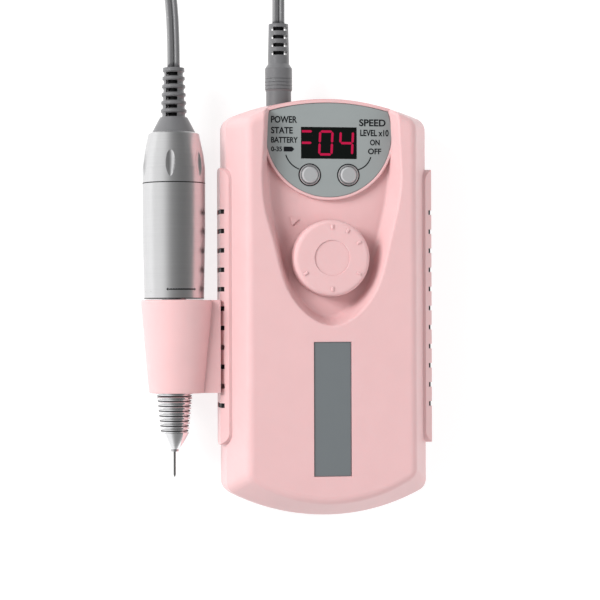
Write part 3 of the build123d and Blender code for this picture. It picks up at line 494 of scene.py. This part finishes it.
# ---- Details on the control box -----------------------------------------------------------------
PRINT_LIFT = 0.015 * MM
PRINT_THICK = 0.03 * MM


def flat_prisms(name, outlines, base_z, thick):
    """Thin upright prisms over closed outlines of (x, y), as one mesh."""
    points, faces = [], []
    for outline in outlines:
        faces += prism_faces(len(points), len(outline))
        points += [(x, y, base_z) for x, y in outline]
        points += [(x, y, base_z + thick) for x, y in outline]
    return add_mesh(name, points, faces, smooth=False)


def segment_outline(start, end, width):
    """Long hexagon of one display segment, pointed at both ends."""
    a, b = Vector(start), Vector(end)
    along = (b - a).normalized()
    across = Vector((-along.y, along.x)) * width / 2
    nib = along * width / 2
    return [a, a + nib + across, b - nib + across, b, b - nib - across, a + nib - across]


SEGMENTS = {
    "top": ((0, 1), (1, 1)),
    "middle": ((0, 0.5), (1, 0.5)),
    "low": ((0, 0), (1, 0)),
    "top_left": ((0, 0.5), (0, 1)),
    "top_right": ((1, 0.5), (1, 1)),
    "low_left": ((0, 0), (0, 0.5)),
    "low_right": ((1, 0), (1, 0.5)),
}
DIGIT_SHAPES = {
    "F": ("top", "middle"),
    "0": ("top", "low", "top_left", "top_right", "low_left", "low_right"),
    "4": ("middle", "top_left", "top_right", "low_right"),
}
DIGIT_HEIGHT = 9.0 * MM
DIGIT_WIDTH = 4.9 * MM
DIGIT_SLANT = 0.05
SEGMENT_WIDTH = 0.92 * MM
SEGMENT_GAP = 0.12 * MM
# Figure and the x of its left side.
DIGITS = (("F", -11.9), ("0", -3.9), ("4", 4.3))
WINDOW_MARGIN = 0.3 * MM


def make_digits():
    """Lit seven-segment figures on the face of the dark lens."""
    low, high, centre = span("display_window")
    outlines = []
    for figure, left in DIGITS:
        base = Vector((left * MM, centre.y - DIGIT_HEIGHT / 2))
        for part in DIGIT_SHAPES[figure]:
            ends = []
            for u, v in SEGMENTS[part]:
                slant = DIGIT_SLANT * v * DIGIT_HEIGHT
                ends.append(base + Vector((u * DIGIT_WIDTH + slant, v * DIGIT_HEIGHT)))
            gap = (ends[1] - ends[0]).normalized() * SEGMENT_GAP
            outlines.append(segment_outline(ends[0] + gap, ends[1] - gap, SEGMENT_WIDTH))
    limit = low.x + WINDOW_MARGIN
    outlines = [[(max(limit, point[0]), point[1]) for point in outline] for outline in outlines]
    return flat_prisms("display_digits", outlines, high.z + PRINT_LIFT, PRINT_THICK)


TEXT_WEIGHT = 0.026


def text_mesh(name, words, height, x, y, z, width):
    """Printed word as a thin mesh, its capitals height tall, squeezed to width."""
    curve = bpy.data.curves.new(name, "FONT")
    curve.body = words
    curve.size = 1.0
    curve.offset = TEXT_WEIGHT
    holder = bpy.data.objects.new(name, curve)
    bpy.context.scene.collection.objects.link(holder)
    bpy.context.view_layer.update()
    mesh = bpy.data.meshes.new_from_object(holder)
    bpy.data.objects.remove(holder)
    bpy.data.curves.remove(curve)
    xs = [v.co.x for v in mesh.vertices]
    ys = [v.co.y for v in mesh.vertices]
    wide, tall = max(xs) - min(xs), max(ys) - min(ys)
    for vertex in mesh.vertices:
        vertex.co.x = x + (vertex.co.x - min(xs)) / wide * width
        vertex.co.y = y + (vertex.co.y - min(ys)) / tall * height
        vertex.co.z = z
    return mesh


def join_meshes(name, meshes, thick):
    """One object from flat meshes, thickened upwards."""
    points, faces = [], []
    for mesh in meshes:
        start = len(points)
        points += [v.co.copy() for v in mesh.vertices]
        faces += [tuple(start + i for i in p.vertices) for p in mesh.polygons]
        bpy.data.meshes.remove(mesh)
    obj = add_mesh(name, points, faces, smooth=False)
    grow = obj.modifiers.new("thickness", "SOLIDIFY")
    grow.thickness = thick
    grow.offset = 1.0
    return obj


PANEL_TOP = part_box("faceplate")[1].z
# Words, x of their left side, y of their foot, width and height of the capitals.
LEGENDS = [
    ("POWER", -23.0, 72.1, 10.3, 2.7),
    ("STATE", -23.0, 67.9, 8.6, 2.6),
    ("BATTERY", -23.0, 64.3, 10.6, 2.3),
    ("0-35", -23.0, 60.9, 4.3, 1.9),
    ("SPEED", 12.1, 71.1, 10.6, 2.8),
    ("LEVEL x10", 12.5, 67.2, 11.4, 2.6),
    ("ON", 16.4, 63.6, 3.9, 2.3),
    ("OFF", 15.6, 60.1, 5.3, 2.3),
]


def make_legends():
    """Plain function words printed beside the display."""
    meshes = []
    for words, x, y, width, height in LEGENDS:
        z = PANEL_TOP + PRINT_LIFT
        meshes.append(text_mesh("legend", words, height * MM, x * MM, y * MM, z, width * MM))
    return join_meshes("panel_legends", meshes, PRINT_THICK)


def arc_strip(start, end, bow, width, steps=14):
    """Closed outline of a thin curved line from start to end that bows sideways."""
    a, b = Vector(start), Vector(end)
    across = Vector((-(b - a).y, (b - a).x)).normalized()
    middle = []
    for k in range(steps + 1):
        t = k / steps
        middle.append(a.lerp(b, t) + across * bow * 4 * t * (1 - t))
    sides = ([], [])
    for k, point in enumerate(middle):
        along = (middle[min(k + 1, steps)] - middle[max(k - 1, 0)]).normalized()
        out = Vector((-along.y, along.x)) * width / 2
        sides[0].append(point + out)
        sides[1].append(point - out)
    return sides[0] + sides[1][::-1]


ICON_LINE_WIDTH = 0.45 * MM
# Start, end and sideways bow of the lines from the legends to the buttons.
ICON_LINES = [((-17.2, 59.6), (-11.9, 54.0), -0.9), ((16.7, 59.0), (11.4, 53.9), 1.0)]
# Left side, foot, width and height of the battery sign, and the share of its width where its point begins.
CELL_SIGN = (-18.0, 60.9, 4.2, 1.9)
CELL_SHOULDER = 0.78


def make_icons():
    """Curved lines from the legends to the buttons, and a small battery sign."""
    outlines = []
    for start, end, bow in ICON_LINES:
        outlines.append(arc_strip(Vector(start) * MM, Vector(end) * MM, bow * MM, ICON_LINE_WIDTH))
    x, y, wide, tall = (v * MM for v in CELL_SIGN)
    shoulder = x + wide * CELL_SHOULDER
    outlines.append([(x, y), (shoulder, y), (x + wide, y + tall / 2), (shoulder, y + tall), (x, y + tall)])
    return flat_prisms("panel_icons", outlines, PANEL_TOP + PRINT_LIFT, PRINT_THICK)


ink = moulded("legend_ink", (0.008, 0.009, 0.011), 0.5, 0.6, 0.1 * MM, 0.001 * MM)
ink.set(Specular_IOR_Level=0.15)
glow = Look("display_light")
glow.mottle((0.20, 0.003, 0.025), amount=0.05, size=1.5 * MM)
glow.roughness(0.4, 0.5, size=0.5 * MM)
glow.set(Emission_Color=(0.62, 0.008, 0.072, 1.0), Emission_Strength=0.46, Specular_IOR_Level=0.2)

dress(make_digits(), glow, "case")
dress(make_legends(), ink, "case")
dress(make_icons(), ink, "case")

# Radius and height above the panel, from the inside out.
BEZEL_PROFILE = [(3.45, -0.6), (3.48, 0.15), (3.6, 0.34), (3.8, 0.42), (3.98, 0.32), (4.08, 0.1), (4.1, -0.1)]
# The second profile is a flat black ring of painted shade in the gap round each bezel.
BEZEL_SHADE_PROFILE = [(4.05, -0.1), (4.05, 0.04), (4.5, 0.04), (4.55, -0.1)]
BEZEL_SIDES = 64


def make_button_rings(name, profile):
    """Ring round each push button, turned from (radius, height above the panel)."""
    points, faces = [], []
    for button in ("button_left", "button_right"):
        centre = span(button)[2]
        # The profile runs from the inside out, so each quad is turned over to face outwards.
        faces += [(a, d, c, b) for a, b, c, d in ring_faces(len(points), len(profile), BEZEL_SIDES)]
        for radius, rise in profile:
            for k in range(BEZEL_SIDES):
                angle = 2 * math.pi * k / BEZEL_SIDES
                x = centre.x + radius * MM * math.cos(angle)
                y = centre.y + radius * MM * math.sin(angle)
                points.append((x, y, PANEL_TOP + rise * MM))
    return add_mesh(name, points, faces)


ring_metal = turned_metal("bezel_metal", (0.90, 0.90, 0.91), 0.14, 0.22, PLAIN, 0.0006 * MM)
dress(make_button_rings("button_bezels", BEZEL_PROFILE), ring_metal, "case")
# Painted shade: a black ring in the gap round each bezel.
dress(make_button_rings("button_gap_shade", BEZEL_SHADE_PROFILE), ink, "case")

SLOT_PITCH = 7.62 * MM
SLOT_COUNT = 11
SLOT_HEIGHT = 1.84 * MM
SLOT_CENTRE_Y = -0.6 * MM
TONGUE_SLOTS = (1, 3)
VENT_SHADE_CLEARANCE = 0.03 * MM
# Depth behind the rail's outer face, and height, round the outline of the comb's teeth.
VENT_SHADE_OUTLINE = [(4.4, 10.0), (0.45, 10.0), (0.45, 19.2), (2.3, 20.9), (4.4, 20.9)]


def make_vent_shade(side):
    """Painted shade: a black comb that stands just inside the cooling slots of one side, -1 left or 1 right,
    so that they look dark.
    """
    points, faces = [], []
    left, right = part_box("side_rail_left")[0].x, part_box("side_rail_right")[1].x
    outer = left if side < 0 else right
    half = SLOT_HEIGHT / 2 - VENT_SHADE_CLEARANCE
    outline = [(outer - side * depth * MM, z * MM) for depth, z in VENT_SHADE_OUTLINE]
    for k in range(SLOT_COUNT):
        if side < 0 and k in TONGUE_SLOTS:
            continue
        y = SLOT_CENTRE_Y + SLOT_PITCH * (k - SLOT_COUNT // 2)
        start, count = len(points), len(outline)
        points += [(x, y - half, z) for x, z in outline]
        points += [(x, y + half, z) for x, z in outline]
        faces.append(tuple(start + i for i in range(count)))
        faces.append(tuple(start + count + i for i in range(count))[::-1])
        for i in range(count):
            after = (i + 1) % count
            faces.append((start + i, start + count + i, start + count + after, start + after))
    return add_mesh("vent_shade_left" if side < 0 else "vent_shade_right", points, faces, smooth=False)


# Painted shade: black combs inside the cooling slots, so that the slots look dark.
for side in (-1, 1):
    dress(make_vent_shade(side), looks["inner_plastic"], "case")


# ---- Details on the handpiece and plug ----------------------------------------------------------
TOOL_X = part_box("body_tube")[0].lerp(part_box("body_tube")[1], 0.5).x
PLUG_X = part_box("plug_body")[0].lerp(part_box("plug_body")[1], 0.5).x
AXIS_Z = 16.5 * MM


def round_ring(axis_x, radius, y, sides):
    """Ring of points about an axis along Y through axis_x."""
    ring = []
    for k in range(sides):
        angle = 2 * math.pi * k / sides
        ring.append((axis_x + radius * math.sin(angle), y, AXIS_Z + radius * math.cos(angle)))
    return ring


WINDOW_SHADE_RADIUS = 2.15 * MM
WINDOW_SHADE_SIDES = 48
WINDOW_SHADE_END = 0.5 * MM


def make_boot_window_shade(name, boot, axis_x, low_share):
    """Painted shade: a black hose where the cord runs inside a boot, seen dark through the boot's windows,
    from low_share of its length nearly to its end.
    """
    low, high, _ = span(boot)
    start = low.y + (high.y - low.y) * low_share
    points = []
    for y in (start, high.y - WINDOW_SHADE_END):
        points += round_ring(axis_x, WINDOW_SHADE_RADIUS, y, WINDOW_SHADE_SIDES)
    faces = ring_faces(0, 2, WINDOW_SHADE_SIDES, closed=False) + end_caps(2, WINDOW_SHADE_SIDES)
    return add_mesh(name, points, faces)


# Painted shade: black hoses inside the boots, standing for the cord and the shade seen through the windows.
for window_shade_piece in (("tool_boot_window_shade", "tool_boot", TOOL_X, 0.26), ("plug_boot_window_shade", "plug_boot", PLUG_X, 0.04)):
    dress(make_boot_window_shade(*window_shade_piece), looks["inner_plastic"], "handpiece")

GROOVE_COUNT = 8
GROOVE_PITCH = 1.95 * MM
GROOVE_FIRST_Y = -48.425 * MM
GROOVE_FIRST_R = 5.41 * MM
GROOVE_TAPER = 0.1
GROOVE_HALF = 0.22 * MM
GROOVE_DEPTH = 0.2 * MM
GROOVE_SIDES = 72


def band(points, faces, radius, y, half, depth, sides):
    """Adds a flat ring about the handpiece's axis: 2 half wide along Y, its outer face at radius."""
    profile = ((radius - depth, -half), (radius, -half), (radius, half), (radius - depth, half))
    faces.extend(ring_faces(len(points), len(profile), sides))
    for r, along in profile:
        points.extend(round_ring(TOOL_X, r, y + along, sides))


def make_groove_shade():
    """Painted shade: a dark line along the bottom of each grip groove."""
    points, faces = [], []
    for i in range(GROOVE_COUNT):
        radius = GROOVE_FIRST_R + GROOVE_TAPER * GROOVE_PITCH * i
        y = GROOVE_FIRST_Y + GROOVE_PITCH * i
        band(points, faces, radius, y, GROOVE_HALF, GROOVE_DEPTH, GROOVE_SIDES)
    return add_mesh("groove_shade", points, faces)


dress(make_groove_shade(), looks["inner_plastic"], "grip")

# Name, y, radius and half width: where the tail cap meets the tube, and where the twist-lock sleeve does.
JOINT_LINES = [("cap_seam", 48.6, 12.32, 0.2), ("lock_line", 3.5, 11.78, 0.16)]
JOINT_DEPTH = 0.3 * MM
JOINT_SIDES = 96


def make_joint_line(name, y, radius, half):
    """Dark joint line round the handpiece."""
    points, faces = [], []
    band(points, faces, radius * MM, y * MM, half * MM, JOINT_DEPTH, JOINT_SIDES)
    return add_mesh(name, points, faces)


for line in JOINT_LINES:
    dress(make_joint_line(*line), looks["inner_plastic"], "handpiece")


def wrapped_marks(name, outlines, radius):
    """Printed marks on the tube: outlines of (degrees from the top, y), curved round its axis."""
    points, faces = [], []
    for outline in outlines:
        faces += prism_faces(len(points), len(outline))
        for lift in (PRINT_LIFT, PRINT_LIFT + PRINT_THICK):
            for degrees, y in outline:
                a = math.radians(degrees)
                r = radius + lift
                points.append((TOOL_X + r * math.sin(a), y * MM, AXIS_Z + r * math.cos(a)))
    return add_mesh(name, points, faces, smooth=False)


MARK_RADIUS = 11.79 * MM
MARK_Y = 7.0
MARK_HALF = 0.28
# The line runs in straight pieces round the tube, in degrees from the top.
LINE_START = -16
LINE_STEP = 5.2
LINE_PIECES = 10
# Outlines of (degrees from the top, height from the line): a triangle and two arrowheads.
MARK_SIGNS = [
    [(-78, -1.0), (-66, 1.2), (-54, -1.0)],
    [(-16.5, -0.6), (-20.5, 0), (-16.5, 0.6)],
    [(36.5, -0.6), (40.5, 0), (36.5, 0.6)],
]


def make_tube_marks():
    """Twist-lock marks: a small triangle and a line with an arrowhead at each end."""
    signs = [[(degrees, MARK_Y + rise) for degrees, rise in sign] for sign in MARK_SIGNS]
    low, high = MARK_Y - MARK_HALF, MARK_Y + MARK_HALF
    pieces = []
    for k in range(LINE_PIECES):
        a, b = LINE_START + LINE_STEP * k, LINE_START + LINE_STEP * (k + 1)
        pieces.append([(a, low), (b, low), (b, high), (a, high)])
    return wrapped_marks("twist_marks", signs[:1] + pieces + signs[1:], MARK_RADIUS)


dress(make_tube_marks(), ink, "handpiece")

make_floor()
make_world()
for light in LIGHTS:
    add_softbox(*light)

bpy.context.scene.view_settings.view_transform = "Standard"
